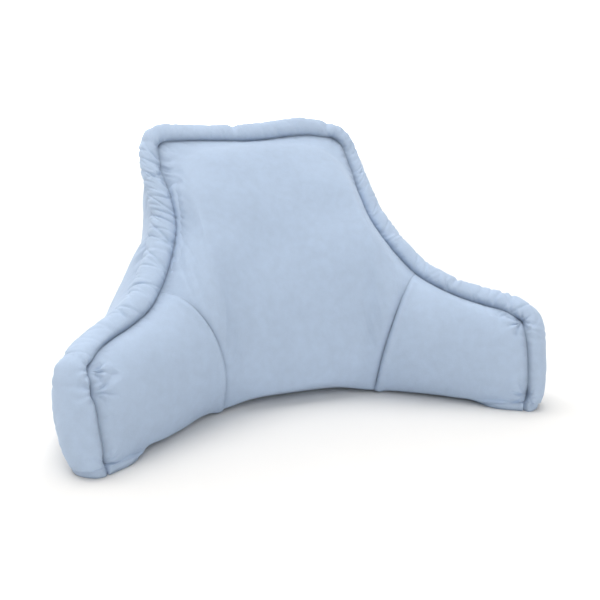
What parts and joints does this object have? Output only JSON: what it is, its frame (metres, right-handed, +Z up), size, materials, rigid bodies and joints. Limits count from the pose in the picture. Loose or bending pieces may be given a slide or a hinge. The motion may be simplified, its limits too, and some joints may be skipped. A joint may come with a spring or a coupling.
{
  "type": "orthopedic bed-rest cushion",
  "caption": "Velvet bed-rest cushion with a crowned leaning back, splayed arm rests and a puffed boxing strip sewn round its edge.",
  "frame": {"origin": "On the floor, under the middle of the overall box", "axes": "+X to the right arm as seen from the lap side, +Y to the back, +Z up; the lap side faces -Y"},
  "size_m": [0.8172, 0.5324, 0.4888],
  "materials": {
    "front_centre_velvet": "short-pile powder blue velvet",
    "arm_left_velvet": "short-pile powder blue velvet",
    "arm_right_velvet": "short-pile powder blue velvet",
    "boxing_strip_velvet": "short-pile powder blue velvet",
    "back_panel_velvet": "short-pile powder blue velvet",
    "base_panel_velvet": "short-pile powder blue velvet"
  },
  "bodies": {
    "root": {"front_centre": "front_centre_velvet", "arm_left": "arm_left_velvet", "arm_right": "arm_right_velvet", "boxing_strip": "boxing_strip_velvet", "back_panel": "back_panel_velvet", "base_panel": "base_panel_velvet"}
  },
  "joints": []
}
